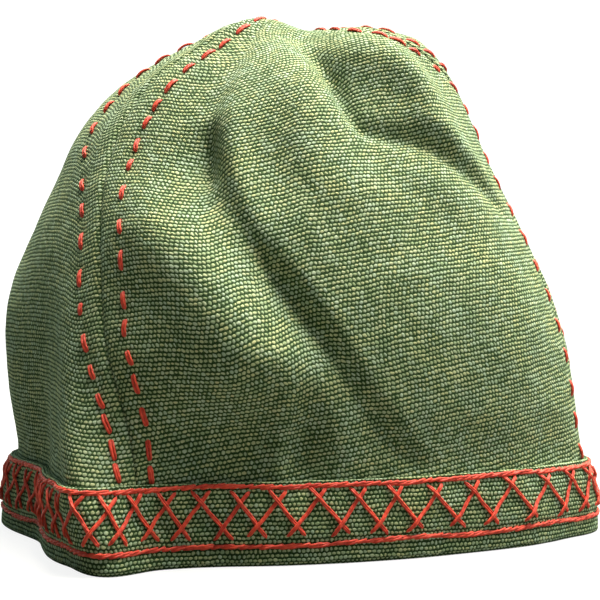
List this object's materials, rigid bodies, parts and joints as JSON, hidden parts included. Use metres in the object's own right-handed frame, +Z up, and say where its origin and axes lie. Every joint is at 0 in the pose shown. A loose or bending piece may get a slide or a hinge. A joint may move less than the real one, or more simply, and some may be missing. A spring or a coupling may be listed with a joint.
{
  "type": "hand-sewn cloth cap",
  "caption": "Head-hugging cap of coarse green cloth, sewn from triangular panels over a doubled brow band with embroidered edging.",
  "frame": {"origin": "middle of the rim's footprint, on the plane that the rim rests on", "axes": "+Z up through the crown, +X along the cap's width, -Y towards the brow side with the storage fold"},
  "size_m": [0.2011, 0.169, 0.1689],
  "materials": {
    "crown_cloth": "coarse plain weave of pale green and near-black green threads",
    "band_cloth": "coarse plain weave, doubled, with red embroidery"
  },
  "bodies": {
    "root": {"crown_panel_front": "crown_cloth", "crown_panel_right": "crown_cloth", "crown_panel_back": "crown_cloth", "crown_panel_left": "crown_cloth", "brow_band": "band_cloth"}
  },
  "joints": []
}
